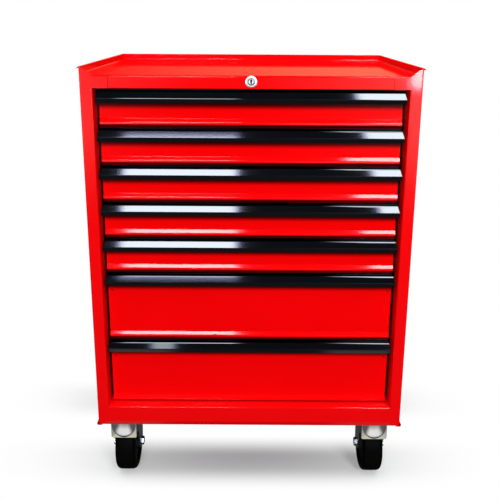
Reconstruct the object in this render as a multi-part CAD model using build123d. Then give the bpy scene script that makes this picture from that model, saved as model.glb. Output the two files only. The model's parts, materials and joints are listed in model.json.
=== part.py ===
from build123d import *
from math import cos, radians, sin
import os

# Rolling tool chest: a folded-sheet cabinet with seven drawers, a rear lock bar and four casters.
# Millimetres, +Z up, the front faces -Y, and the origin is on the floor under the middle.

# Cabinet shell
cabinet_width = 660.0
cabinet_depth = 457.0
floor_gap = 161.0
bottom_rail_height = 46.0
top_rail_height = 25.5
lip_height = 17.0
sheet = 1.0
post_width = 24.0
post_return = 36.0
post_bend = 3.0
rear_flange = 18.0
tab_reach = 55.0
seam = 0.8
bead_diameter = 8.0
bead_jut = 4.0
bead_drop = 2.0

# Top tray
tray_edge_bend = 3.0
tray_edge_drop = 4.0
tray_edge_run = 20.0
lip_bend = 5.0
lip_run = 10.0
hem_reach = 5.5
hem_drop = 5.0
hem_bend = 1.0
hem_cover = 3.5
skirt_return = 12.0

# Rails, pan and uprights
brace_sheet = 1.2
top_rail_depth = 30.0
top_rail_upstand = 8.0
ledge_depth = 60.0
ledge_drop = 12.0
band_height = 10.0
band_inset = 4.0
band_flange = 5.5
band_upstand = 26.0
foot_corner = 6.0
pan_rise = 7.0
pan_sheet = 1.5
pan_flange = 24.0
upright_width = 40.0
rear_upright_gap = 12.0

# Drawers, from the top, in units of one shallow cell
unit_pitch = 76.5
drawer_units = (1, 1, 1, 1, 1, 2, 2)
front_recess = 25.0
front_side_gap = 7.0
front_gap = 1.5
front_bend = 2.0
front_top_return = 12.0
front_side_return = 12.0
step_height = 13.0
step_low = 6.0
step_out = 3.0
step_return = 9.0
box_rear_gap = 20.7
box_floor_rise = 6.0
box_top_gap = 14.0
box_fold = 4.0

# Handles
handle_sheet = 1.5
handle_end_gap = 2.5
handle_top = 2.5
handle_shelf = 6.5
handle_shoulder = 8.0
handle_ridge = 21.0
handle_foot = 29.5
handle_reach = 13.5
handle_tuck = 2.5
handle_bend = 2.0
handle_roll = 4.0

# Drawer slides
slide_width = 12.7
slide_height = 35.0
slide_rear_gap = 4.0
slide_sheet = 1.2
slide_lip = 1.8
slide_setback = 12.0
slide_rise = 26.0
slip = 0.3

# Lock and its bar
lock_drop = 11.5
lock_disc = 23.0
lock_proud = 2.0
lock_barrel = 16.0
lock_length = 26.0
plug_face = 15.0
plug_face_depth = 4.0
plug_diameter = 11.0
key_width = 2.3
key_height = 8.5
key_depth = 15.0
nut_flats = 20.0
nut_height = 5.0
shaft_diameter = 6.0
crank_radius = 7.0
crank_pin = 3.0
crank_plate = 3.0
crank_hub = 6.0
yoke_play = 0.5
yoke_wall = 2.0
bar_width = 26.0
bar_sheet = 3.0
bar_foot = 20.0
guide_sheet = 1.5
guide_height = 12.0
guide_ear = 12.0
bearing_width = 24.0
bearing_sheet = 2.0
bearing_foot = 14.0
bearing_drop = 9.0

# Catch on each drawer back and the finger that stops it
catch_width = 14.0
catch_sheet = 1.5
catch_reach = 14.0
catch_lip = 8.0
catch_rise = 40.0
finger_width = 10.0
finger_height = 6.0
finger_peg = 4.0
finger_clear = 0.5
finger_setback = 5.0

# Casters
wheel_diameter = 125.0
wheel_width = 46.0
wheel_shoulder = 9.0
wheel_rim = 13.0
wheel_web = 26.0
hub_width = 50.0
hub_diameter = 34.0
axle_diameter = 12.0
fork_gap = 51.0
fork_sheet = 4.0
fork_apron = 47.0
fork_boss = 15.0
fork_back = 16.0
fork_nose = 6.0
plate_width = 86.0
plate_depth = 85.0
plate_sheet = 4.0
plate_corner = 8.0
race_diameter = 46.0
race_height = 6.0
kingpin_diameter = 14.0
kingpin_head = 22.0
kingpin_head_height = 4.0
plate_side_gap = 5.5
plate_front_gap = 12.5
plate_rear_gap = 19.5
swivel_trail = 32.0
bolt_neck = 8.0
bolt_disc = 15.0
bolt_disc_height = 3.5
bolt_flats = 13.0
bolt_nut = 5.0
bolt_edge = 9.0
axle_flats = 17.0
axle_head = 5.0

# Levels and planes that the pieces share
half_width = cabinet_width / 2
inside = half_width - sheet
opening_half = half_width - post_width
tab_end = half_width - tab_reach
hem_overhang = hem_reach - 2 * sheet
front = -(cabinet_depth + hem_overhang + lock_proud) / 2 + lock_proud
rear = front + cabinet_depth
back_face = rear - 2 * sheet
base = floor_gap
ledge = base + bottom_rail_height
opening_top = ledge + unit_pitch * sum(drawer_units)
tray_level = opening_top + top_rail_height
rim = tray_level + lip_height
wall_top = rim - hem_cover
tab_top = tray_level - tray_edge_drop
band_line = base + band_height
pan_level = base + pan_rise
pan_top = pan_level + pan_sheet
tray_underside = tray_level - sheet
drawer_plane = front + front_recess
front_half = opening_half - front_side_gap
box_half = opening_half - slide_width
bar_back = back_face - slip
bar_front = bar_back - bar_sheet
box_front = drawer_plane + sheet
box_back = bar_front - box_rear_gap
slide_front = drawer_plane + slide_setback
slide_back = box_back - slide_rear_gap
lock_level = tray_level - lock_drop
crank_swing = crank_radius * sin(radians(45))
bar_lift = 2 * crank_swing
crank_front = bar_front - slip - crank_plate
wheel_radius = wheel_diameter / 2
plate_level = pan_level - plate_sheet
race_level = plate_level - race_height
crown_top = race_level - slip
apron_foot = base - fork_apron
fork_half = fork_gap / 2 + fork_sheet


# Sections and solids
def strip(points, radii, thickness):
    return trace(FilletPolyline(*points, radius=radii), thickness)


def outline(*points):
    return make_face(Polyline(*points, close=True))


def along_x(section, start, end):
    return extrude(Plane.YZ.offset(start) * section, end - start, dir=(1, 0, 0))


def along_y(section, start, end):
    return extrude(Plane.XZ.offset(-start) * section, end - start, dir=(0, 1, 0))


def along_z(section, start, end):
    return extrude(Plane.XY.offset(start) * section, end - start, dir=(0, 0, 1))


def block(x0, x1, y0, y1, z0, z1):
    return Pos((x0 + x1) / 2, (y0 + y1) / 2, (z0 + z1) / 2) * Box(x1 - x0, y1 - y0, z1 - z0)


def rod_y(diameter, start, end, x, z):
    return along_y(Pos(x, z) * Circle(diameter / 2), start, end)


def rod_z(diameter, start, end, x, y):
    return along_z(Pos(x, y) * Circle(diameter / 2), start, end)


def rod_x(diameter, start, end, y, z):
    return along_x(Pos(y, z) * Circle(diameter / 2), start, end)


def hexagon(flats):
    return RegularPolygon(flats / 2, 6, major_radius=False)


def mirrored(shape):
    return mirror(shape, about=Plane.YZ)


def both_sides(shape):
    return [shape, mirrored(shape)]


def save(name, *solids):
    shape = solids[0] if len(solids) == 1 else Compound(children=[s.solid() for s in solids])
    export_step(shape, f"parts/{name}.step")


# Cells of the drawers as bottom and top levels, from the top down
def drawer_cells():
    cells = []
    top = opening_top
    for units in drawer_units:
        cells.append((top - units * unit_pitch, top))
        top -= units * unit_pitch
    return cells


# Side panel: wall, front post with a slanted top, corner tab, inner return and rolled foot
def side_panel():
    wall = half_width - sheet / 2
    face = front + sheet / 2
    inner = opening_half + sheet / 2
    plan = [(half_width - rear_flange, rear - sheet / 2), (wall, rear - sheet / 2), (wall, face),
            (inner, face), (inner, front + post_return)]
    bend = post_bend - sheet / 2
    panel = along_z(strip(plan, [sheet, bend, bend], sheet), base, rim)
    behind_face = (opening_half - sheet, inside - post_bend, front + sheet, front + post_return + sheet)
    panel -= block(*behind_face, opening_top, rim)
    panel -= block(*behind_face, base, ledge - sheet)
    panel -= block(inside - rear_flange, half_width + sheet, front + sheet, rear + sheet, wall_top, rim)
    flat = opening_half + post_bend
    panel += block(tab_end, flat, front, front + sheet, opening_top, tab_top)
    panel += block(opening_half, flat, front, front + sheet, base, ledge)
    panel += block(opening_half, flat, front, front + sheet, tab_top, tray_level)
    face_depth = (front - sheet, front + post_return)
    panel -= along_y(outline((opening_half, tray_level), (half_width, rim), (opening_half, rim)), *face_depth)
    panel -= along_y(outline((opening_half - sheet, base), (opening_half - sheet, band_line),
                             (opening_half, band_line), (half_width - foot_corner, base)), *face_depth)
    bead_x = half_width + bead_jut - bead_diameter / 2
    bead_z = base - bead_drop + bead_diameter / 2
    return panel + rod_y(bead_diameter, front + post_bend, rear, bead_x, bead_z)


# Back panel, held inside the rear flanges of the side panels
def back_panel():
    return block(sheet - inside, inside - sheet, back_face, rear - sheet, pan_level, wall_top)


# Bottom pan with an upturned flange all round and square holes for the caster bolts
def bottom_pan():
    pan_front = front + band_inset + band_flange + sheet / 2
    pan = block(-inside, inside, pan_front, back_face, pan_level, pan_level + pan_flange)
    pan -= block(-inside + pan_sheet, inside - pan_sheet, pan_front + pan_sheet, back_face - pan_sheet,
                 pan_top, pan_level + pan_flange)
    for x, y in bolt_places():
        pan -= square_neck(x, y, bolt_neck + slip, pan_level, pan_top)
    return pan


# Bottom rail: ledge, face between the posts, and a lower band bent inwards with mitred ends
def bottom_rail():
    face = front + sheet / 2
    top = ledge - sheet / 2
    foot = base + sheet / 2
    upper = strip([(front + ledge_depth, ledge - ledge_drop), (front + ledge_depth, top), (face, top),
                   (face, band_line)], post_bend - sheet / 2, sheet)
    back = front + band_inset + band_flange
    lower = strip([(face, band_line + sheet), (face, band_line), (front + band_inset, foot), (back, foot),
                   (back, base + band_upstand)], [0, 0, sheet], sheet)
    half_band = half_width - foot_corner
    band = along_x(lower, -half_band, half_band)
    mitre = outline((opening_half, base + band_upstand + sheet), (opening_half, band_line), (half_band, base),
                    (half_width, base), (half_width, base + band_upstand + sheet))
    mitre_depth = (front - sheet, front + band_inset + sheet)
    for cut in both_sides(along_y(mitre, *mitre_depth)):
        band -= cut
    return band + along_x(upper, -opening_half, opening_half)


# Top tray: floor, three lips with folded hems, rounded front edge and a skirt between the corner tabs
def top_tray():
    floor = tray_level - sheet / 2
    start = front + sheet
    half = inside - sheet / 2 - lip_run
    back = back_face - sheet / 2 - lip_run
    section = strip([(0, floor), (lip_run, floor), (lip_run, rim - sheet / 2),
                     (lip_run + hem_reach, rim - hem_drop)], [lip_bend, hem_bend], sheet)
    section_plane = Plane(origin=(-half, start, 0), x_dir=(-1, 0, 0), z_dir=(0, 1, 0))
    round_three_sides = Polyline((-half, start, 0), (-half, back, 0), (half, back, 0), (half, start, 0))
    tray = sweep(section_plane * section.face(), path=round_three_sides, transition=Transition.RIGHT)
    tray += block(-half, half, start, back, tray_underside, tray_level)
    tray -= block(-opening_half, opening_half, front, front + tray_edge_run / 2, tray_underside, tray_level)
    face = front + sheet / 2
    edge = strip([(front + tray_edge_run, floor), (face, floor), (face, tab_top)], tray_edge_bend - sheet / 2,
                 sheet)
    tray += along_x(edge, -opening_half, opening_half)
    skirt = strip([(face, tab_top + sheet / 2), (face, opening_top + sheet / 2),
                   (front + skirt_return, opening_top + sheet / 2)], [sheet], sheet)
    tray += along_x(skirt, seam - tab_end, tab_end - seam)
    corner = block(inside - post_bend, inside, front, front + post_bend, tray_underside, rim)
    for notch in both_sides(corner):
        tray -= notch
    return tray - rod_y(lock_barrel + slip, front - sheet, front + 2 * sheet, 0, lock_level)


# Top rail: a channel behind the skirt that stiffens it and carries the lock
def top_rail():
    web = front + sheet + brace_sheet / 2
    low = opening_top + sheet + brace_sheet / 2
    back = front + top_rail_depth
    section = strip([(web, tray_level - tray_edge_bend), (web, low), (back, low),
                     (back, low + top_rail_upstand)], brace_sheet, brace_sheet)
    rail = along_x(section, -opening_half, opening_half)
    return rail - rod_y(lock_barrel + slip, front, front + top_rail_depth / 2, 0, lock_level)


# Upright channel that carries the slides, open towards the side wall
def upright(start):
    end = start + upright_width
    web = opening_half + brace_sheet / 2
    edge = inside - pan_sheet
    near = start + brace_sheet / 2
    far = end - brace_sheet / 2
    plan = strip([(edge, near), (web, near), (web, far), (edge, far)], brace_sheet, brace_sheet)
    return along_z(plan, pan_top, tray_underside)


# Slide members: channels nested in one another, the outer and middle open towards the drawer
def slide_channel(web_side, open_side, height, level):
    half = height / 2
    inner = half - slide_sheet
    turn = slide_sheet if open_side > web_side else -slide_sheet
    section = outline((web_side, -half), (open_side, -half), (open_side, -inner), (web_side + turn, -inner),
                      (web_side + turn, inner), (open_side, inner), (open_side, half), (web_side, half))
    return along_y(Pos(0, level) * section, slide_front, slide_back)


def outer_slide(level):
    return slide_channel(opening_half, box_half + slide_sheet + slide_lip, slide_height, level)


def middle_slide(level):
    step = slide_sheet + slip
    open_side = box_half + slide_sheet + slide_lip
    return slide_channel(opening_half - step, open_side, slide_height - 2 * step, level)


def inner_slide(level):
    step = slide_sheet + slip
    return slide_channel(box_half, opening_half - 2 * step - slide_lip, slide_height - 4 * step, level)


# Drawer: front sheet with a stepped foot, folded box behind it and a catch on its back
def drawer_box(bottom, top):
    face = drawer_plane + sheet / 2
    high = top - front_gap - sheet / 2
    low = bottom + front_gap + sheet / 2
    section = strip([(face + front_top_return, high), (face, high), (face, low + step_height),
                     (face - step_out, low + step_low), (face - step_out, low), (face + step_return, low)],
                    front_bend, sheet)
    drawer = along_x(section, -front_half, front_half)
    side_return = block(front_half - sheet, front_half, drawer_plane + front_bend,
                        drawer_plane + front_side_return, low + step_height, high - front_bend)
    side_foot = block(front_half - sheet, front_half, drawer_plane, drawer_plane + front_bend + sheet,
                      low + step_height, high - front_bend)
    for piece in both_sides(side_return) + both_sides(side_foot):
        drawer += piece
    floor = bottom + box_floor_rise
    side_top = top - box_top_gap
    box = block(-box_half, box_half, box_front, box_back, floor, side_top)
    box -= block(sheet - box_half, box_half - sheet, box_front - sheet, box_back - sheet,
                 floor + sheet, side_top)
    fold = block(box_half, box_half + box_fold, box_front, box_back, side_top - sheet, side_top)
    for piece in both_sides(fold):
        box += piece
    return drawer + box + catch(floor)


# Catch: a hook that points down behind the drawer's back
def catch(floor):
    level = floor + catch_rise
    half = catch_width / 2
    end = box_back + catch_reach
    hook = block(-half, half, box_back, end, level - catch_sheet, level)
    return hook + block(-half, half, end - catch_sheet, end, level - catch_sheet - catch_lip, level)


# Handle: flange on the drawer front, rolled shoulder, slanted face that widens, and a lip with finger room
def handle(bottom, top):
    back = drawer_plane - handle_sheet / 2
    lip = drawer_plane - handle_reach + handle_sheet / 2
    section = strip([(back, top - handle_top), (back, top - handle_shelf),
                     (drawer_plane - handle_shoulder, top - handle_shelf), (lip, top - handle_ridge),
                     (lip + handle_tuck, top - handle_foot)], [handle_bend, handle_roll, handle_bend],
                    handle_sheet)
    tip = opening_half - handle_end_gap
    ends = outline((-front_half, top), (front_half, top), (front_half, top - handle_shelf),
                   (tip, top - handle_ridge), (tip, bottom), (-tip, bottom), (-tip, top - handle_ridge),
                   (-front_half, top - handle_shelf))
    return along_x(section, -tip, tip) & along_y(ends, drawer_plane - handle_reach, drawer_plane)


# Lock housing with its disc, and the nut behind the top rail
def lock_housing():
    housing = rod_y(lock_disc, front - lock_proud, front, 0, lock_level)
    housing += rod_y(lock_barrel, front, front + lock_length, 0, lock_level)
    face_back = front - lock_proud + plug_face_depth
    housing -= rod_y(plug_face + 2 * slip, front - lock_proud, face_back + slip, 0, lock_level)
    return housing - rod_y(plug_diameter + 2 * slip, front - lock_proud, front + lock_length, 0, lock_level)


def lock_nut():
    start = front + sheet + brace_sheet
    nut = along_y(Pos(0, lock_level) * hexagon(nut_flats), start, start + nut_height)
    return nut - rod_y(lock_barrel + slip, start, start + nut_height, 0, lock_level)


# Plug with an upright key slot, and the long shaft that it turns
def lock_plug():
    plug = rod_y(plug_diameter, front - lock_proud, front + lock_length, 0, lock_level)
    plug += rod_y(plug_face, front - lock_proud, front - lock_proud + plug_face_depth, 0, lock_level)
    return plug - block(-key_width / 2, key_width / 2, front - lock_proud, front - lock_proud + key_depth,
                        lock_level - key_height / 2, lock_level + key_height / 2)


def lock_shaft():
    return rod_y(shaft_diameter, front + lock_length, crank_front, 0, lock_level)


# Crank on the shaft's rear end: its pin sits in the slot of the lock bar, 45 degrees below level at rest
def lock_crank():
    pin_x = crank_radius * cos(radians(45))
    pin_z = lock_level - crank_swing
    arm = make_hull([*(Pos(0, lock_level) * Circle(crank_hub)).edges(),
                     *(Pos(pin_x, pin_z) * Circle(crank_pin)).edges()])
    crank = along_y(arm, crank_front, crank_front + crank_plate)
    return crank + rod_y(crank_pin, crank_front, bar_back, pin_x, pin_z)


# Lock bar: a flat bar in guides on the back panel, with a slot for the crank and a finger for each drawer
def lock_bar():
    pin_z = lock_level - crank_swing
    slot_half = crank_pin / 2 + yoke_play
    bar_top = pin_z + slot_half + yoke_wall
    bar = block(-bar_width / 2, bar_width / 2, bar_front, bar_back, ledge + bar_foot, bar_top)
    bar -= block(crank_swing - slot_half, crank_radius + slot_half, bar_front, bar_back,
                 pin_z - slot_half, pin_z + slot_half)
    half = finger_width / 2
    reach = box_back + finger_setback
    for bottom, top in drawer_cells():
        hook_under = bottom + box_floor_rise + catch_rise - catch_sheet
        peg_top = hook_under - bar_lift - finger_clear
        arm_top = hook_under - catch_lip - bar_lift - finger_clear
        bar += block(-half, half, reach, bar_front, arm_top - finger_height, arm_top)
        bar += block(-half, half, reach, reach + finger_peg, arm_top - finger_height, peg_top)
    return bar


# Guides: straps on the back panel round the bar, and the hanger that carries the shaft's rear end
def bar_guide(level):
    half = bar_width / 2 + slip
    strap_front = bar_front - slip - guide_sheet
    strap = block(-half - guide_sheet, half + guide_sheet, strap_front, back_face,
                  level, level + guide_height)
    strap -= block(-half, half, bar_front - slip, back_face, level, level + guide_height)
    ear = block(half + guide_sheet, half + guide_ear, back_face - guide_sheet, back_face, level,
                level + guide_height)
    for piece in both_sides(ear):
        strap += piece
    return strap


def shaft_hanger():
    start = crank_front - slip - bearing_sheet
    half = bearing_width / 2
    hanger = block(-half, half, start, start + bearing_sheet, lock_level - bearing_drop, tray_underside)
    hanger += block(-half, half, start - bearing_foot, start, tray_underside - bearing_sheet, tray_underside)
    return hanger - rod_y(shaft_diameter + 2 * slip, start, start + bearing_sheet, 0, lock_level)


def guide_levels():
    cells = drawer_cells()
    return [cells[i][1] - guide_height / 2 for i in (1, 4, 6)]


# Places of the casters: swivel ones in front, rigid ones behind
caster_x = half_width - plate_side_gap - plate_width / 2
swivel_y = front + plate_front_gap + plate_depth / 2
rigid_y = rear - plate_rear_gap - plate_depth / 2
front_axle_y = swivel_y + swivel_trail


def bolt_places():
    reach_x = plate_width / 2 - bolt_edge
    reach_y = plate_depth / 2 - bolt_edge
    return [(side * caster_x + dx, y + dy) for side in (-1, 1) for y in (swivel_y, rigid_y)
            for dx in (-reach_x, reach_x) for dy in (-reach_y, reach_y)]


def square_neck(x, y, width, start, end):
    return along_z(Pos(x, y) * Rectangle(width, width), start, end)


# Mounting plate with a domed raceway; the swivel ones have a kingpin
def caster_plate(x, y, swivels):
    flat = RectangleRounded(plate_width, plate_depth, plate_corner)
    plate = along_z(Pos(x, y) * flat, plate_level, pan_level)
    for bolt_x, bolt_y in bolt_places():
        plate -= square_neck(bolt_x, bolt_y, bolt_neck + slip, plate_level, pan_level)
    foot = race_level if swivels else crown_top
    dome = Pos(x, y, (foot + plate_level) / 2) * Cone(race_diameter / 2, race_diameter / 2 + race_height,
                                                      plate_level - foot)
    plate += dome
    if swivels:
        plate += rod_z(kingpin_diameter, crown_top - fork_sheet - slip, race_level, x, y)
        plate += rod_z(kingpin_head, crown_top - fork_sheet - slip - kingpin_head_height,
                       crown_top - fork_sheet - slip, x, y)
    return plate


# Coach bolt: round head on the pan, square neck through pan and plate, nut underneath
def caster_bolt(x, y):
    bolt = square_neck(x, y, bolt_neck, plate_level, pan_top)
    bolt += rod_z(bolt_disc, pan_top, pan_top + bolt_disc_height, x, y)
    return bolt + along_z(Pos(x, y) * hexagon(bolt_flats), plate_level - bolt_nut, plate_level)


# Swivel fork: a pressed shell with a round nose, a flat crown and two legs that taper to the axle
def swivel_fork(x, y):
    leg = fork_gap / 2 + fork_sheet / 2
    trail = swivel_trail
    back = trail + fork_back
    path = [Line((-leg, back), (-leg, 0)), ThreePointArc((-leg, 0), (0, -leg), (leg, 0)),
            Line((leg, 0), (leg, back))]
    shell = along_z(trace(path, fork_sheet), wheel_radius - fork_boss, crown_top)
    crown = Circle(fork_half) + Pos(0, back / 2) * Rectangle(2 * fork_half, back)
    shell += along_z(crown, crown_top - fork_sheet, crown_top)
    side = outline((-fork_half, crown_top), (-fork_half, apron_foot), (-fork_nose, apron_foot),
                   (trail - fork_boss, wheel_radius), (trail, wheel_radius - fork_boss),
                   (trail + fork_boss, wheel_radius), (back, apron_foot), (back, crown_top))
    side += Pos(trail, wheel_radius) * Circle(fork_boss)
    shell &= along_x(side, -fork_half, fork_half)
    shell -= rod_x(axle_diameter + slip, -fork_half, fork_half, trail, wheel_radius)
    shell -= rod_z(kingpin_diameter + 2 * slip, crown_top - fork_sheet, crown_top, 0, 0)
    return Pos(x, y, 0) * shell


# Rigid fork: a folded bracket whose sides taper to the axle
def rigid_fork(x, y):
    leg = fork_gap / 2 + fork_sheet / 2
    foot = wheel_radius - fork_boss
    section = strip([(-leg, foot), (-leg, crown_top - fork_sheet / 2), (leg, crown_top - fork_sheet / 2),
                     (leg, foot)], fork_sheet, fork_sheet)
    half = plate_depth / 2 - bolt_edge - bolt_flats
    bracket = along_y(section, -half, half)
    side = outline((-half, crown_top), (-half, apron_foot), (-fork_boss, wheel_radius),
                   (fork_boss, wheel_radius), (half, apron_foot), (half, crown_top))
    side += Pos(0, wheel_radius) * Circle(fork_boss)
    bracket &= along_x(side, -fork_half, fork_half)
    bracket -= rod_x(axle_diameter + slip, -fork_half, fork_half, 0, wheel_radius)
    return Pos(x, y, 0) * bracket


# Axle: a bolt across the fork with a hexagon head and nut
def axle(x, y):
    end = fork_half + axle_head
    bolt = rod_x(axle_diameter, x - end, x + end, y, wheel_radius)
    for start in (x - end, x + fork_half):
        bolt += along_x(Pos(y, wheel_radius) * hexagon(axle_flats), start, start + axle_head)
    return bolt


# Wheel: rounded tread, recessed web and a hub that runs on the axle
def wheel(x, y):
    bore = axle_diameter / 2 + slip
    hub = hub_diameter / 2
    tread = wheel_width / 2
    web = wheel_web / 2
    lip = wheel_radius - wheel_rim
    half = [(hub_width / 2, bore), (hub_width / 2, hub), (web, hub), (web, lip), (tread, lip),
            (tread, wheel_radius)]
    points = half + [(-axial, radius) for axial, radius in reversed(half)]
    radii = [0, 0, 0, 0, 0, wheel_shoulder, wheel_shoulder, 0, 0, 0, 0, 0]
    profile = make_face(FilletPolyline(*points, radius=radii, close=True))
    return Pos(x, y, wheel_radius) * revolve(profile, Axis.X)


os.makedirs("parts", exist_ok=True)

right_panel = side_panel()
save("right_side_panel", right_panel)
save("left_side_panel", mirrored(right_panel))
save("back_panel", back_panel())
save("bottom_pan", bottom_pan())
save("bottom_rail", bottom_rail())
save("top_tray", top_tray())
save("top_rail", top_rail())
save("front_uprights", *both_sides(upright(front + post_return)))
save("rear_uprights", *both_sides(upright(back_face - rear_upright_gap - upright_width)))

outer_slides = []
for number, (bottom, top) in enumerate(drawer_cells(), start=1):
    level = bottom + box_floor_rise + slide_rise
    outer_slides += both_sides(outer_slide(level))
    save(f"drawer_{number}_box", drawer_box(bottom, top))
    save(f"drawer_{number}_handle", handle(bottom, top))
    save(f"drawer_{number}_slide_middle", *both_sides(middle_slide(level)))
    save(f"drawer_{number}_slide_inner", *both_sides(inner_slide(level)))
save("drawer_slide_outers", *outer_slides)

save("lock_housing", lock_housing())
save("lock_nut", lock_nut())
save("lock_plug", lock_plug())
save("lock_shaft", lock_shaft())
save("lock_crank", lock_crank())
save("lock_bar", lock_bar())
save("lock_bar_guides", *[bar_guide(level) for level in guide_levels()], shaft_hanger())

plates = []
rear_axles = []
for side, place in ((-1, "left"), (1, "right")):
    x = side * caster_x
    plates += [caster_plate(x, swivel_y, True), caster_plate(x, rigid_y, False)]
    rear_axles.append(axle(x, rigid_y))
    save(f"front_{place}_fork", swivel_fork(x, swivel_y))
    save(f"front_{place}_axle", axle(x, front_axle_y))
    save(f"front_{place}_wheel", wheel(x, front_axle_y))
    save(f"rear_{place}_fork", rigid_fork(x, rigid_y))
    save(f"rear_{place}_wheel", wheel(x, rigid_y))
save("caster_plates", *plates)
save("caster_bolts", *[caster_bolt(x, y) for x, y in bolt_places()])
save("rear_axles", *rear_axles)
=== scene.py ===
# %% [markdown]
# # A rolling tool chest
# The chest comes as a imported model: folded panels, seven drawers, a lock and four casters, each on the
# body that moves it. This lesson dresses that model. It sets up the view and the studio, mixes the
# finishes, and then models the pieces that want a finer shape than the plain solids have.

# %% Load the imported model
import json
import math

import bmesh
import bpy
from mathutils import Matrix, Vector


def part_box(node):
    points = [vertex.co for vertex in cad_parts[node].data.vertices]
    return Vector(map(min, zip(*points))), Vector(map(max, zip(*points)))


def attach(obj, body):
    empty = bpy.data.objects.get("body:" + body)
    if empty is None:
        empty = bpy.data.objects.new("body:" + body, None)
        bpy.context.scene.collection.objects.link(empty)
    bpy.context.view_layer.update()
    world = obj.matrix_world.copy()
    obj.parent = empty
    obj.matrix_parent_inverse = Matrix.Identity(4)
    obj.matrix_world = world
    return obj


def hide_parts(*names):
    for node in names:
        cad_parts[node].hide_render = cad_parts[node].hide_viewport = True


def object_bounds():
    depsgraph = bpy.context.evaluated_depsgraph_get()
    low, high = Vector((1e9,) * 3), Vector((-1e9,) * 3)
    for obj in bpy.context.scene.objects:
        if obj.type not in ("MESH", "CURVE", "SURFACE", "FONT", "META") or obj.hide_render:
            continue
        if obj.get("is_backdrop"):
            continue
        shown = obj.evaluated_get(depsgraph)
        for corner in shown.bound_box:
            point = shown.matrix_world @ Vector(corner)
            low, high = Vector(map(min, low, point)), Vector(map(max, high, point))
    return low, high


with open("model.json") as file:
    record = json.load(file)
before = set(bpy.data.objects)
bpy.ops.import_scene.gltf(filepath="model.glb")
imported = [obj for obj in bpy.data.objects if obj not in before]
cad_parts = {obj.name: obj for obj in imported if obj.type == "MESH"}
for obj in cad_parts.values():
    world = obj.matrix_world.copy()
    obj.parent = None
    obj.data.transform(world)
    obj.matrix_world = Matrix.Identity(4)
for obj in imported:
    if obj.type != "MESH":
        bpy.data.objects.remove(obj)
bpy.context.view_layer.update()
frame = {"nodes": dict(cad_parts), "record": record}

nodes = frame["nodes"]

# %% [markdown]
# ## The view
# A camera stands straight in front of the chest, a little above its top, and looks down a little.
# Turning the camera further down would make the sides converge too fast, so part of the downward look
# comes from shifting the lens. Places are in metres and turns in radians.

# %% Make the camera
camera_place = Vector((-0.001, -1.516, 1.029))
camera_down = 0.2535
camera_roll = 0.0059
camera_lens = 48.0
camera_shift = -0.12

camera_data = bpy.data.cameras.new("camera")
camera_data.lens = camera_lens
camera_data.shift_y = camera_shift
camera = bpy.data.objects.new("camera", camera_data)
bpy.context.scene.collection.objects.link(camera)
camera.location = camera_place
turn = Matrix.Rotation(math.pi / 2 - camera_down, 3, "X") @ Matrix.Rotation(camera_roll, 3, "Z")
camera.rotation_euler = turn.to_euler()
bpy.context.scene.camera = camera
bpy.context.scene.view_settings.view_transform = "Standard"
print("camera at", tuple(camera_place), "lens", camera_lens)

# %% [markdown]
# ## Writing shader maths
# A material is a graph of nodes. Wiring each Math node by hand hides the idea, so a small class wraps a
# socket and turns Python's operators into Math nodes. A second class owns one node tree and adds every
# other node through a single method: its type, its settings, then its sockets. Two of its helpers make
# soft masks: rise goes smoothly from nothing to one, and window goes up and then down again.


# %% Wrap sockets and node trees
class Socket:
    """An output of a node; arithmetic on a number adds Math nodes."""

    def __init__(self, graph, output):
        self.graph = graph
        self.output = output

    def math(self, operation, first, second):
        return self.graph.add("ShaderNodeMath", {"operation": operation}, {0: first, 1: second})

    def __add__(self, other):
        return self.math("ADD", self, other)

    def __radd__(self, other):
        return self.math("ADD", other, self)

    def __sub__(self, other):
        return self.math("SUBTRACT", self, other)

    def __rsub__(self, other):
        return self.math("SUBTRACT", other, self)

    def __mul__(self, other):
        return self.math("MULTIPLY", self, other)

    def __rmul__(self, other):
        return self.math("MULTIPLY", other, self)

    def __truediv__(self, other):
        return self.math("DIVIDE", self, other)

    def __rtruediv__(self, other):
        return self.math("DIVIDE", other, self)

    def __lt__(self, other):
        return self.math("LESS_THAN", self, other)

    def __gt__(self, other):
        return self.math("GREATER_THAN", self, other)

    def __abs__(self):
        return self.math("ABSOLUTE", self, 0.0)

    def most(self, other):
        return self.math("MAXIMUM", self, other)

    def least(self, other):
        return self.math("MINIMUM", self, other)


class Graph:
    """One node tree, whose nodes all come from the node method."""

    def __init__(self, owner):
        owner.use_nodes = True
        self.tree = owner.node_tree
        self.tree.nodes.clear()

    def node(self, kind, settings=None, sockets=None):
        made = self.tree.nodes.new(kind)
        for name, setting in (settings or {}).items():
            setattr(made, name, setting)
        for key, given in (sockets or {}).items():
            if isinstance(given, Socket):
                self.tree.links.new(given.output, made.inputs[key])
            else:
                made.inputs[key].default_value = given
        return made

    def add(self, kind, settings=None, sockets=None, output=0):
        return Socket(self, self.node(kind, settings, sockets).outputs[output])

    def blend(self, share, first, second):
        """Mixes two colours; a Mix node has sockets for other kinds too, so its colours go by number."""
        factor, colour_a, colour_b, colour_result = 0, 6, 7, 2
        return self.add("ShaderNodeMix", {"data_type": "RGBA"},
                        {factor: share, colour_a: first, colour_b: second}, colour_result)

    def rise(self, number, low, high):
        return self.add("ShaderNodeMapRange", {"interpolation_type": "SMOOTHSTEP"},
                        {"Value": number, "From Min": low, "From Max": high})

    def window(self, number, rising, falling):
        return self.rise(number, *rising) * (1.0 - self.rise(number, *falling))

    def part(self, vector, axis):
        return self.add("ShaderNodeSeparateXYZ", None, {0: vector}, axis)

    def seen_rays(self):
        path = self.node("ShaderNodeLightPath")
        camera_ray, mirrored, through = [Socket(self, path.outputs[name]) for name in
                                         ("Is Camera Ray", "Is Glossy Ray", "Is Transmission Ray")]
        return camera_ray, mirrored.most(through)


white = (1, 1, 1, 1)
black = (0, 0, 0, 1)
print("shader classes ready")

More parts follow.
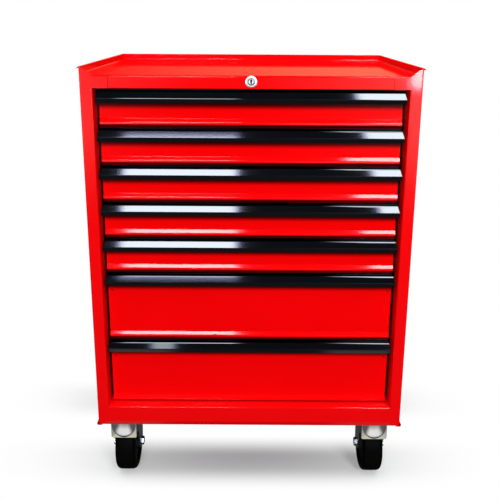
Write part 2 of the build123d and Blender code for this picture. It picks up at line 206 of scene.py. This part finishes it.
# %% [markdown]
# ## The studio
# The chest stands on a white floor that runs on into a white surround, as in a product picture. Gloss
# paint shows what the room is like, so the room is told apart by the kind of ray. The camera sees plain
# white. Soft light comes from straight above, where a studio has its ceiling light, and a little from
# behind the chest. A mirrored ray sees a dark room with a warm pale wall behind the chest, brighter to
# the right, which is what tints the tray. It also sees a small bright patch, high in front and to the
# right, that draws thin lines along the bends of the tray, the handles and the bottom rail. A lamp in
# its place would light the whole front too.

# %% Make the world
ceiling_light = (3.2, 3.2, 3.2, 1)
ceiling_edge = (0.75, 0.92)
side_light = (0.03, 0.03, 0.03, 1)
back_light = (0.55, 0.55, 0.55, 1)
back_edge = (0.0, 0.35)
room_dark = (0.03, 0.032, 0.038, 1)
wall_cream = (1.0, 0.92, 0.52, 1)
wall_edge = (0.0, 0.4)
wall_height = (0.10, 0.45)
wall_share = 0.60
wall_lean = 2.4
patch_white = (40, 40, 40, 1)
patch_across = (0.11, 0.15), (0.22, 0.27)
patch_up = (0.72, 0.78), (0.88, 0.92)

world = bpy.data.worlds.new("studio")
bpy.context.scene.world = world
room = Graph(world)
direction = room.add("ShaderNodeTexCoord", None, None, "Generated")
across, away, up = [room.part(direction, axis) for axis in range(3)]
light_from = room.blend(room.rise(away, *back_edge), side_light, back_light)
light_from = room.blend(room.rise(up, *ceiling_edge), light_from, ceiling_light)
wall = room.rise(away, *wall_edge) * (1.0 - room.rise(up, *wall_height))
wall = (wall * (wall_share + wall_lean * across)).most(0.0)
patch = room.window(across, *patch_across) * room.window(up, *patch_up) * (away < 0.0)
mirrored_colour = room.blend(patch, room.blend(wall, room_dark, wall_cream), patch_white)
open_air = room.add("ShaderNodeBackground", None, {"Color": light_from, "Strength": 1.0})
mirrored_room = room.add("ShaderNodeBackground", None, {"Color": mirrored_colour, "Strength": 1.0})
white_room = room.add("ShaderNodeBackground", None, {"Color": white, "Strength": 1.0})
camera_ray, mirrored_ray = room.seen_rays()
sky = room.add("ShaderNodeMixShader", None, {0: mirrored_ray, 1: open_air, 2: mirrored_room})
sky = room.add("ShaderNodeMixShader", None, {0: camera_ray, 1: sky, 2: white_room})
room.node("ShaderNodeOutputWorld", None, {"Surface": sky})
print("ceiling light", ceiling_light[0])

# %% [markdown]
# The floor is one large square. It is part of the stage and not of the chest, and it is told so,
# because the closing measure of sizes takes only the chest.

# %% Lay the floor
floor_reach = 40.0

mesh = bpy.data.meshes.new("floor")
shape = bmesh.new()
bmesh.ops.create_grid(shape, x_segments=1, y_segments=1, size=floor_reach)
shape.to_mesh(mesh)
shape.free()
floor = bpy.data.objects.new("floor", mesh)
bpy.context.scene.collection.objects.link(floor)
floor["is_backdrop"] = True
print("floor", len(mesh.polygons), "face")

# %% [markdown]
# Its finish works as the world does. For the camera it is white, except in a soft oval along each pair
# of casters, where a pale grey floor shows and keeps the shadow of the chest. For mirrored rays the
# floor is pale just before each front caster, where the pressed zinc mirrors it. It is dark elsewhere,
# and bright again far off to both sides, where it gives the posts their sheen. For all other rays it is
# a dull floor that throws little light back up.

# %% Colour the floor
floor_dull = (0.06, 0.06, 0.06, 1)
shadow_pale = (0.69, 0.70, 0.70, 1)
shadow_line = 0.135
shadow_half_width = (0.0, 0.90)
shadow_half_depth = (0.02, 0.105)
near_cream = (0.95, 0.90, 0.78, 1)
near_start = (0.20, 0.27)
near_reach = (0.36, 0.50)
near_line = 0.30
near_half_width = (0.05, 0.13)
floor_dark = (0.10, 0.10, 0.10, 1)
sheen_reach = (2.0, 6.0)
sheen_least_forward = 0.5
sheen_offset = 0.05
sheen_gain = 9.2
sheen_white = (5, 5, 5, 1)

floor_finish = bpy.data.materials.new("floor_white")
ground = Graph(floor_finish)
place = ground.add("ShaderNodeTexCoord", None, None, "Object")
across, along = [ground.part(place, axis) for axis in (0, 1)]
shadow = 1.0 - ground.rise(abs(across), *shadow_half_width)
shadow = shadow * (1.0 - ground.rise(abs(abs(along) - shadow_line), *shadow_half_depth))
forward = 0.0 - along
aside = across / forward.most(sheen_least_forward) + sheen_offset
sheen = ground.rise(forward, *sheen_reach) * aside * aside * sheen_gain
near = ground.window(forward, near_start, near_reach)
near = near * (1.0 - ground.rise(abs(abs(across) - near_line), *near_half_width))
mirrored_floor = ground.blend(near, floor_dark, near_cream)
mirrored_floor = ground.blend(sheen, mirrored_floor, sheen_white)
bouncing = ground.add("ShaderNodeBsdfDiffuse", None, {"Color": floor_dull})
mirrored = ground.add("ShaderNodeEmission", None, {"Color": mirrored_floor, "Strength": 1.0})
white_floor = ground.add("ShaderNodeEmission", None, {"Color": white, "Strength": 1.0})
shaded_floor = ground.add("ShaderNodeBsdfDiffuse", None, {"Color": shadow_pale})
shown = ground.add("ShaderNodeMixShader", None, {0: shadow, 1: white_floor, 2: shaded_floor})
camera_ray, mirrored_ray = ground.seen_rays()
surface = ground.add("ShaderNodeMixShader", None, {0: mirrored_ray, 1: bouncing, 2: mirrored})
surface = ground.add("ShaderNodeMixShader", None, {0: camera_ray, 1: surface, 2: shown})
ground.node("ShaderNodeOutputMaterial", None, {"Surface": surface})
floor.data.materials.append(floor_finish)
print("shadow under the casters at", shadow_line)

# %% [markdown]
# Softboxes give the long highlights on the handles. The face of a handle leans back a little, so it
# mirrors what stands in front of the chest and somewhat higher: one box left of the camera, and a
# taller one further to the right that leans, so that its edge moves sideways from one handle to the
# next. They also light the drawers, more at the top than at the foot. Two small boxes stand lower. One
# shows in the left part of the lowest handle, the other at the top of the right post. A box is
# brightest in its middle and fades to a bluish rim, which an area light gets from its own node tree.

# %% Stand the softboxes
softbox_line = -3.0
rim_blue = (0.45, 0.42, 0.95, 1)


def softbox(name, centre_x, centre_z, width, height, brightness, rim, lean=0.0):
    light = bpy.data.lights.new(name, "AREA")
    light.shape = "RECTANGLE"
    light.size = width
    light.size_y = height
    light.energy = brightness * math.pi * width * height
    graph = Graph(light)
    face_place = graph.add("ShaderNodeNewGeometry", None, None, "Parametric")
    sides = [graph.part(face_place, axis) for axis in (0, 1)]
    fades = [graph.rise(side, 0.0, rim) * graph.rise(1.0 - side, 0.0, rim) for side in sides]
    fade = fades[0] * fades[1]
    colour = graph.blend(fade, black, graph.blend(fade, rim_blue, white))
    glow = graph.add("ShaderNodeEmission", None, {"Color": colour, "Strength": 1.0})
    graph.node("ShaderNodeOutputLight", None, {"Surface": glow})
    lamp = bpy.data.objects.new(name, light)
    bpy.context.scene.collection.objects.link(lamp)
    lamp.location = (centre_x, softbox_line, centre_z)
    lamp.rotation_euler = (math.pi / 2, lean, 0)
    lamp.visible_camera = False
    return lamp


lamps = [
    softbox("left_softbox", centre_x=-0.46, centre_z=1.70, width=0.82, height=1.04,
            brightness=24.6, rim=0.08),
    softbox("right_softbox", centre_x=1.19, centre_z=2.27, width=0.95, height=1.32,
            brightness=24.6, rim=0.07, lean=-0.154),
    softbox("low_softbox", centre_x=-0.54, centre_z=0.78, width=0.20, height=0.18,
            brightness=9.0, rim=0.30),
    softbox("corner_softbox", centre_x=1.03, centre_z=0.69, width=0.17, height=0.20,
            brightness=80.0, rim=0.30),
]
print("lamps", [(lamp.name, round(lamp.data.energy, 1)) for lamp in lamps])

# %% [markdown]
# ## The finishes
# Each finish is a material of its own, mixed from noise in the object's own coordinates, so that it
# stays put when a drawer slides. A small class starts every finish with those coordinates and closes it
# with one Principled shader. Seven drawers repeat the same marks at seven heights, so the class has a
# band: a mask that is one near any of several levels.


# %% Start a finish
def nearest(number, levels):
    distance = abs(number - levels[0])
    for level in levels[1:]:
        distance = distance.least(abs(number - level))
    return distance


class Finish(Graph):
    """A material with one Principled shader."""

    def __init__(self, name):
        self.material = bpy.data.materials.new(name)
        super().__init__(self.material)
        self.place = self.add("ShaderNodeTexCoord", None, None, "Object")

    def noise(self, scale, detail, place=None):
        return self.add("ShaderNodeTexNoise", None,
                        {"Vector": place or self.place, "Scale": scale, "Detail": detail})

    def band(self, number, levels, edge):
        return 1.0 - self.rise(nearest(number, levels), *edge)

    def bump(self, height):
        return self.add("ShaderNodeBump", None, {"Height": height, "Distance": 1.0, "Strength": 1.0})

    def done(self, sockets):
        surface = self.add("ShaderNodeBsdfPrincipled", None, sockets)
        self.node("ShaderNodeOutputMaterial", None, {"Surface": surface})
        return self.material


print("finish class ready")

# %% [markdown]
# The marks on the red sheet are found from the imported model. A drawer front steps out just above its
# foot, and that fold is the glossiest line. Painted shade lies under each handle's lip, at each drawer's
# foot and at the brow, which is the gap above a handle. A weld dimple sits at each end of every front,
# with a spot of painted shade in it, and a seam shows where each post's corner tab meets the top rail.
# The beads at the foot of the side panels get painted shade at their front ends. Most marks lie only on
# the front skin, so a limit in depth goes with them.

# %% Find the marks of the sheet
drawer_boxes = [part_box(f"drawer_{number}_box") for number in range(1, 8)]
handle_boxes = [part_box(f"drawer_{number}_handle") for number in range(1, 8)]
front_skin = 0.004
front_limit = drawer_boxes[0][0].y + front_skin

fold_rise = 0.0085
fold_levels = [low.z + fold_rise for low, high in drawer_boxes]
foot_levels = [low.z for low, high in drawer_boxes]
lip_drop = 0.004
lip_levels = [low.z - lip_drop for low, high in handle_boxes]
brow_rise = 0.001
brow_levels = [high.z + brow_rise for low, high in handle_boxes]
brow_reach = 0.016
brow_limit = front_limit + brow_reach
dimple_drops = [0.0345] * 5 + [0.042] * 2
dimple_levels = [high.z - drop for (low, high), drop in zip(handle_boxes, dimple_drops)]
dimple_place = 0.291
seam_place = 0.2746
rail_foot = handle_boxes[0][1].z
panel_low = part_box("left_side_panel")[0]
bead_height = 0.008
bead_top = panel_low.z + bead_height
bead_side = 0.328
bead_length = 0.004
bead_end = panel_low.y + bead_length
print("folds at", [round(level, 3) for level in fold_levels])

# %% [markdown]
# The red is a sprayed enamel: a saturated colour that varies a little, under a thin clear gloss with
# the faint waviness of sprayed paint. Dimples could be modelled, but they are shallow and only a few
# pixels wide, so a bump and a spot of painted shade do it. The shade is painted, because lamps bright
# enough for the highlights would leave the gaps too red. Each mask is a function of its own.

# %% Mask the seams, dimples and shade
fold_half = (0.0035, 0.0065)
foot_shade = (0.0005, 0.004)
lip_shade = (0.001, 0.012)
brow_shade = (0.002, 0.004)
seam_half = (0.0003, 0.0012)
seam_fade = 0.001
seam_foot = (rail_foot, rail_foot + seam_fade)
dimple_radius = 0.0032


def corner_seams(finish, across, along, height):
    seam = finish.band(abs(across), [seam_place], seam_half)
    return seam * finish.rise(height, *seam_foot) * (along < front_limit)


# The dimple mask shapes the bump and places a spot of painted shade in each dimple.
def weld_dimples(finish, across, along, height):
    beside = abs(across) - dimple_place
    above = nearest(height, dimple_levels)
    dimple = 1.0 - finish.rise(beside * beside + above * above, 0.0, dimple_radius ** 2)
    return dimple * (along < front_limit)


def drawer_shade(finish, along, height):
    shade = finish.band(height, lip_levels, lip_shade).most(finish.band(height, foot_levels, foot_shade))
    brow = finish.band(height, brow_levels, brow_shade)
    return (shade * (along < front_limit)).most(brow * (along < brow_limit))


# Painted shade at the front ends of the beads of the side panels.
def shaded_bead_ends(across, along, height):
    return (height < bead_top) * (abs(across) > bead_side) * (along < bead_end)


print("masks for", len(drawer_boxes), "drawers")

# %% [markdown]
# One function sprays both reds. The drawers have less gloss than the cabinet, apart from their folds,
# and only they get the painted shade round the handles and at their feet.

# %% Spray the enamel
shade_red = (0.04, 0.0, 0.0005, 1)
seam_and_dimple_shade_red = (0.12, 0.0, 0.0, 1)
seam_and_dimple_shade_strength = 0.55
dimple_shade_strength = 0.7
dimple_depth = 0.0011
bead_shade_strength = 0.75
wave_depth = 0.000025


def red_enamel(name, deep, bright, gloss, fold_gloss, shading):
    finish = Finish(name)
    across, along, height = [finish.part(finish.place, axis) for axis in range(3)]
    mottle = finish.noise(scale=7.0, detail=4.0)
    wave = finish.noise(scale=420.0, detail=2.0)
    smear = finish.noise(scale=18.0, detail=3.0)
    dimple = weld_dimples(finish, across, along, height)
    # Dark seams, plus a spot of painted shade in each dimple.
    marks = corner_seams(finish, across, along, height).most(dimple_shade_strength * dimple)
    shade = shading * drawer_shade(finish, along, height)
    # Painted shade at the bead ends, on the cabinet too.
    shade = shade.most(bead_shade_strength * shaded_bead_ends(across, along, height))
    fold = finish.band(height, fold_levels, fold_half)
    paint = finish.blend(mottle, deep, bright)
    paint = finish.blend(shade, paint, shade_red)
    return finish.done({
        "Base Color": finish.blend(seam_and_dimple_shade_strength * marks, paint, seam_and_dimple_shade_red),
        "Roughness": 0.26 + 0.10 * smear,
        "Specular IOR Level": 0.0,
        "Coat Weight": (gloss + (fold_gloss - gloss) * fold) * (0.9 + 0.2 * smear),
        "Coat Roughness": 0.06,
        "Normal": finish.bump(wave_depth * wave - dimple_depth * dimple)})


cabinet_red = red_enamel("cabinet_red", deep=(0.76, 0.001, 0.002, 1), bright=(0.84, 0.002, 0.003, 1),
                         gloss=0.25, fold_gloss=0.25, shading=0.0)
drawer_red = red_enamel("drawer_red", deep=(0.78, 0.0005, 0.001, 1), bright=(0.85, 0.001, 0.002, 1),
                        gloss=0.05, fold_gloss=0.62, shading=0.92)
print("enamels", cabinet_red.name, drawer_red.name)

# %% [markdown]
# The handles are black and so glossy that they mirror the softboxes sharply. Their rounded top
# shoulders stay dark all the same. Roughness would only spread the light there, so the shoulder is made
# metallic instead: a metal mirrors in its own colour, and a metal that is nearly black mirrors next to
# nothing.

# %% Paint the handles
shoulder_levels = [high.z for low, high in handle_boxes]
shoulder_half = (0.0035, 0.006)
speck_depth = 0.00001


def handle_gloss(name):
    finish = Finish(name)
    height = finish.part(finish.place, 2)
    speck = finish.noise(scale=260.0, detail=3.0)
    cloud = finish.noise(scale=9.0, detail=3.0)
    return finish.done({
        "Base Color": finish.blend(cloud, (0.001, 0.0012, 0.002, 1), (0.003, 0.0035, 0.005, 1)),
        "Metallic": finish.band(height, shoulder_levels, shoulder_half),
        "Roughness": 0.03 + 0.03 * cloud + 0.01 * speck,
        "Specular Tint": (0.84, 0.91, 1.0, 1),
        "Normal": finish.bump(speck_depth * speck)})


handle_black = handle_gloss("handle_black")
print("handles", handle_black.name)

# %% [markdown]
# Zinc, steel and chrome differ in tone, in smoothness and in how their grain runs, so one function
# makes them all. Its cloud moves between a cool and a warm tone, as zinc plating does, and its streaks
# are noise that a Mapping node draws out: a large scale along an axis makes the grain fine that way.

# %% Plate the metal
streak_depth = 0.00002


def plated(name, cool, warm, smooth, streak_scale):
    finish = Finish(name)
    cloud = finish.noise(scale=40.0, detail=4.0)
    drawn_out = finish.add("ShaderNodeMapping", None, {"Vector": finish.place, "Scale": streak_scale})
    streak = finish.noise(scale=1.0, detail=3.0, place=drawn_out)
    return finish.done({
        "Base Color": finish.blend(cloud, cool, warm),
        "Metallic": 1.0,
        "Roughness": smooth + 0.16 * streak * cloud,
        "Normal": finish.bump(streak_depth * streak)})


bright_zinc = plated("bright_zinc", cool=(0.62, 0.66, 0.72, 1), warm=(0.74, 0.73, 0.70, 1),
                     smooth=0.20, streak_scale=(90, 90, 500))
# The bowl's zinc is brighter and bluer than the rest of its sheet: the tints of zinc plating, raised into a
# painted reflection.
lit_bowl_zinc = plated("lit_bowl_zinc", cool=(0.58, 0.80, 0.90, 1), warm=(0.98, 0.84, 0.94, 1),
                   smooth=0.12, streak_scale=(20, 20, 20))
# The shelf's zinc is a little creamier: a painted reflection of the pale floor before it.
shelf_zinc = plated("shelf_zinc", cool=(0.62, 0.63, 0.58, 1), warm=(0.72, 0.72, 0.66, 1),
                    smooth=0.30, streak_scale=(20, 20, 20))
# The fork legs and axles get a much darker zinc: painted shade.
shaded_zinc = plated("shaded_zinc", cool=(0.20, 0.25, 0.28, 1), warm=(0.30, 0.32, 0.32, 1),
                   smooth=0.28, streak_scale=(40, 40, 40))
# The slides are nearly black: painted shade for the gaps beside the drawers.
shaded_slide_steel = plated("shaded_slide_steel", cool=(0.020, 0.020, 0.022, 1), warm=(0.035, 0.035, 0.036, 1),
                    smooth=0.34, streak_scale=(900, 25, 900))
plug_steel = plated("plug_steel", cool=(0.56, 0.64, 0.64, 1), warm=(0.64, 0.70, 0.70, 1),
                    smooth=0.24, streak_scale=(300, 300, 300))
ring_steel = plated("ring_steel", cool=(0.05, 0.07, 0.08, 1), warm=(0.09, 0.11, 0.12, 1),
                    smooth=0.24, streak_scale=(300, 300, 300))
lock_chrome = plated("lock_chrome", cool=(0.66, 0.67, 0.68, 1), warm=(0.72, 0.72, 0.72, 1),
                     smooth=0.36, streak_scale=(400, 400, 400))
print("metals", [metal.name for metal in (bright_zinc, lit_bowl_zinc, shelf_zinc, shaded_zinc, shaded_slide_steel,
                                          plug_steel, ring_steel, lock_chrome)])

# %% [markdown]
# A wheel is black rubber on a hub of slightly greyer plastic. Both are one piece here, so the finish
# tells them apart by the distance from the axle. Distances are compared as squares, which saves a root.

# %% Mould the wheels' black
wheel_centres = [sum(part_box(f"{place}_left_wheel"), Vector()) / 2 for place in ("front", "rear")]
hub_edge = (0.0455, 0.0475)
grain_depth = 0.00006


def moulded_black(name):
    finish = Finish(name)
    along, height = [finish.part(finish.place, axis) for axis in (1, 2)]
    grain = finish.noise(scale=900.0, detail=3.0)
    dust = finish.noise(scale=60.0, detail=5.0)
    upward = height - wheel_centres[0].z
    outward = nearest(along, [centre.y for centre in wheel_centres])
    squared = outward * outward + upward * upward
    hub = 1.0 - finish.rise(squared, *[edge ** 2 for edge in hub_edge])
    rubber = finish.blend(dust, (0.0002, 0.0002, 0.0002, 1), (0.001, 0.001, 0.001, 1))
    plastic = finish.blend(dust, (0.010, 0.010, 0.011, 1), (0.016, 0.016, 0.017, 1))
    return finish.done({
        "Base Color": finish.blend(hub, rubber, plastic),
        "Roughness": 0.48 + 0.22 * dust,
        "Specular IOR Level": 0.03,
        "Normal": finish.bump(grain_depth * grain)})


wheel_black = moulded_black("wheel_black")
print("wheel centres", [tuple(centre) for centre in wheel_centres])

# %% [markdown]
# Each imported node knows the finish that its record names. A few nodes take a closer one: the drawers
# have their own mix of the red, forks and axles a darker zinc that is painted shade, and the lock's plug
# its steel.

# %% Give every node its finish
finish_of_slot = {"red_paint": cabinet_red, "black_paint": handle_black, "chrome": lock_chrome,
                  "zinc_steel": bright_zinc, "slide_steel": shaded_slide_steel, "black_rubber": wheel_black}
slot_of_node = {part["node"]: part["material_slot"] for part in frame["record"]["subparts"]}
for name, node in nodes.items():
    finish = finish_of_slot[slot_of_node[name]]
    if name.endswith("_box"):
        finish = drawer_red
    if name.endswith(("_fork", "_axle", "_axles")):
        finish = shaded_zinc
    if name == "lock_plug":
        finish = plug_steel
    for holder in node.material_slots:
        holder.material = finish
print("dressed", len(nodes), "nodes")

# %% [markdown]
# ## Turned pieces
# The wheels, the lock's bezel and ring and the bowls of the front forks are round, so each starts as
# the outline of one side. Its corners are rounded with a vertex bevel, and the outline is then spun
# about its axis. A full spin closes on itself. A half spin leaves two open ends, which are filled.


# %% Add and turn pieces
merge_distance = 1e-6
sharp_angle = math.radians(38)
rounding_steps = 5
side_axis, depth_axis, up_axis = Vector((1, 0, 0)), Vector((0, 1, 0)), Vector((0, 0, 1))


def add_piece(name, shape, finish, body, slot, *replaced):
    bmesh.ops.remove_doubles(shape, verts=shape.verts[:], dist=merge_distance)
    bmesh.ops.recalc_face_normals(shape, faces=shape.faces[:])
    mesh = bpy.data.meshes.new(name)
    shape.to_mesh(mesh)
    shape.free()
    mesh.shade_smooth()
    mesh.set_sharp_from_angle(angle=sharp_angle)
    mesh.materials.append(finish)
    piece = bpy.data.objects.new(name, mesh)
    bpy.context.scene.collection.objects.link(piece)
    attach(piece, body)
    if replaced:
        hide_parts(*replaced)
    return piece


def fill_open_ends(shape):
    bmesh.ops.holes_fill(shape, edges=[edge for edge in shape.edges if edge.is_boundary], sides=0)


def turned(profile, centre, axis, start, steps=72, angle=math.tau):
    """Spins an outline of (place along the axis, radius, rounding) from the direction start."""
    shape = bmesh.new()
    corners = [shape.verts.new(centre + axis * along + start * radius)
               for along, radius, rounding in profile]
    shape.faces.new(corners)
    for corner, (along, radius, rounding) in zip(corners, profile):
        if rounding:
            bmesh.ops.bevel(shape, geom=[corner], offset=rounding, segments=rounding_steps, profile=0.5,
                            affect="VERTICES", material=-1)
    bmesh.ops.delete(shape, geom=shape.faces[:], context="FACES_ONLY")
    bmesh.ops.spin(shape, geom=shape.verts[:] + shape.edges[:], cent=centre, axis=axis, angle=angle,
                   steps=steps, use_merge=angle == math.tau)
    fill_open_ends(shape)
    return shape


print("turning ready")

# %% [markdown]
# A wheel is one moulding. Its tread is a little crowned, with round shoulders, and its sides are dished
# between the hub and the rim. Half of the outline is written down and mirrored.

# %% Turn the wheels
half_outline = [(0.0250, 0.0063, 0), (0.0250, 0.0165, 0.0015), (0.0145, 0.0185, 0.003),
                (0.0130, 0.0460, 0.005), (0.0215, 0.0495, 0.0015), (0.0230, 0.0520, 0.001),
                (0.0230, 0.0619, 0.0095)]
wheel_radius = 0.0625
wheel_outline = half_outline + [(0.0, wheel_radius, 0)]
wheel_outline += [(-along, radius, rounding) for along, radius, rounding in reversed(half_outline)]
for corner in ("front_left", "front_right", "rear_left", "rear_right"):
    low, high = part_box(f"{corner}_wheel")
    shape = turned(wheel_outline, (low + high) / 2, side_axis, up_axis)
    wheel = add_piece(f"{corner}_tyre", shape, wheel_black, f"{corner}_roller", "black_rubber",
                      f"{corner}_wheel")
    print(wheel.name, len(wheel.data.polygons))

# %% [markdown]
# ## The front forks
# A front fork is pressed from one sheet: two legs, a flat plate that closes the front over the wheel,
# called the shelf here, and a bowl that bulges from that plate and mirrors the floor below and the
# lights above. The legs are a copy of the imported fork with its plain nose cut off. The shelf is a block
# with rounded edges. The bowl is half a turn, flattened in depth, because a pressing is shallower than
# it is wide.

# %% Shape the legs, shelf and bowl
bowl_outline = [(-0.0030, 0.0, 0), (-0.0030, 0.0275, 0.0015), (-0.0200, 0.0272, 0.005),
                (-0.0340, 0.0230, 0.006), (-0.0430, 0.0140, 0.006), (-0.0466, 0.0045, 0.003),
                (-0.0468, 0.0, 0)]
bowl_steps = 48
bowl_flatness = 0.42
shelf_corner = 0.004
shelf_corner_steps = 6
shelf_edge = 0.0008
shelf_edge_steps = 3


def fork_legs(node, cut):
    shape = bmesh.new()
    shape.from_mesh(node.data)
    bmesh.ops.remove_doubles(shape, verts=shape.verts[:], dist=merge_distance)
    everything = shape.verts[:] + shape.edges[:] + shape.faces[:]
    bmesh.ops.bisect_plane(shape, geom=everything, plane_co=cut, plane_no=depth_axis, clear_inner=True)
    fill_open_ends(shape)
    return shape


def fork_shelf(place, size):
    shape = bmesh.new()
    bmesh.ops.create_cube(shape, size=1.0)
    bmesh.ops.scale(shape, vec=size, verts=shape.verts[:])
    bmesh.ops.translate(shape, vec=place, verts=shape.verts[:])
    low_corners = [edge for edge in shape.edges if edge.verts[0].co.z < place.z
                   and abs(edge.verts[0].co.y - edge.verts[1].co.y) > shelf_edge]
    bmesh.ops.bevel(shape, geom=low_corners, offset=shelf_corner, segments=shelf_corner_steps, profile=0.5,
                    affect="EDGES", material=-1)
    front_rim = [edge for edge in shape.edges if max(vert.co.y for vert in edge.verts) < place.y]
    bmesh.ops.bevel(shape, geom=front_rim, offset=shelf_edge, segments=shelf_edge_steps, profile=0.5,
                    affect="EDGES", material=-1)
    return shape


def fork_bowl(centre):
    shape = turned(bowl_outline, centre, up_axis, -side_axis, bowl_steps, math.pi)
    bmesh.ops.scale(shape, vec=(1, bowl_flatness, 1), space=Matrix.Translation(-centre),
                    verts=shape.verts[:])
    return shape


print("fork shapes ready")

# %% [markdown]
# The three pieces of a fork are placed from its kingpin, the upright axis that the caster swivels
# about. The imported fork's nose is half a circle about that axis, so the kingpin lies half a width
# behind the nose.

# %% Press the front forks
nose_cut = 0.0245
bowl_reach = 0.02548
shelf_half_width = 0.0285
shelf_reach = (0.0260, 0.0230)
shelf_drop = (0.0030, 0.0488)

for corner in ("front_left", "front_right"):
    low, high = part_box(f"{corner}_fork")
    kingpin = Vector(((low.x + high.x) / 2, low.y + (high.x - low.x) / 2, high.z))
    body = f"{corner}_caster"
    legs = add_piece(f"{corner}_legs", fork_legs(nodes[f"{corner}_fork"], kingpin - depth_axis * nose_cut),
                     shaded_zinc, body, "zinc_steel", f"{corner}_fork")
    bowl = add_piece(f"{corner}_bowl", fork_bowl(kingpin - depth_axis * bowl_reach),
                     lit_bowl_zinc, body, "zinc_steel")
    size = Vector((2 * shelf_half_width, shelf_reach[0] - shelf_reach[1], shelf_drop[1] - shelf_drop[0]))
    place = kingpin - Vector((0, sum(shelf_reach) / 2, sum(shelf_drop) / 2))
    shelf = add_piece(f"{corner}_shelf", fork_shelf(place, size), shelf_zinc, body, "zinc_steel")
    print([(piece.name, len(piece.data.polygons)) for piece in (legs, bowl, shelf)])

# %% [markdown]
# ## The lock
# The lock has a bright bezel that swells out of the rail and falls away to a sunk plug. The plug turns
# with the lock, and a raised ring of darker steel lies round its face. Bezel and ring are turned about
# the lock's axis.

# %% Turn the lock's bezel and the plug's ring
low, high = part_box("lock_housing")
lock_centre = Vector((0, low.y, (low.z + high.z) / 2))
lock_back = high.y - low.y
bezel_outline = [(0.0020, 0.0115, 0), (0.0007, 0.0115, 0.0005), (-0.0005, 0.0082, 0.0006),
                 (0.0004, 0.0077, 0.0002), (0.0041, 0.0077, 0), (0.0043, 0.0058, 0), (lock_back, 0.0058, 0),
                 (lock_back, 0.0080, 0), (0.0020, 0.0080, 0)]
ring_outline = [(0.0006, 0.0046, 0), (-0.0006, 0.0052, 0.0004), (0.0000, 0.0070, 0.0004),
                (0.0008, 0.0074, 0)]
bezel = add_piece("lock_bezel", turned(bezel_outline, lock_centre, depth_axis, up_axis), lock_chrome,
                  "cabinet", "chrome", "lock_housing")
ring = add_piece("lock_plug_ring", turned(ring_outline, lock_centre, depth_axis, up_axis), ring_steel,
                 "lock_core", "chrome")
print(bezel.name, len(bezel.data.polygons), ring.name, len(ring.data.polygons))

# %% [markdown]
# A dark block, wide above and narrow below, sits in the key slot as its painted shade. Four circles, two at
# the front and two at the back, mark its rounds, and a convex hull wraps them into one closed block.

# %% Shade the key slot
key_slot_rounds = [(0.0025, 0.0022), (-0.0038, 0.0012)]
key_slot_depths = (-0.0002, 0.0012)
key_slot_segments = 20

shape = bmesh.new()
for height, radius in key_slot_rounds:
    for depth in key_slot_depths:
        middle = lock_centre + Vector((0, depth, height))
        bmesh.ops.create_circle(shape, segments=key_slot_segments, radius=radius,
                                matrix=Matrix.Translation(middle) @ Matrix.Rotation(math.pi / 2, 4, "X"))
bmesh.ops.convex_hull(shape, input=shape.verts[:])
# The black block is painted shade for the depth of the key slot.
key_slot_shade = add_piece("lock_key_slot_shade", shape, wheel_black, "lock_core", "chrome")
print(key_slot_shade.name, len(key_slot_shade.data.polygons))

# %% [markdown]
# ## Closing
# The closing cell measures the box round all that the chest shows, leaving out the stage. The
# visual model may not outgrow the imported one.

# %% Measure the sizes
low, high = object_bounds()
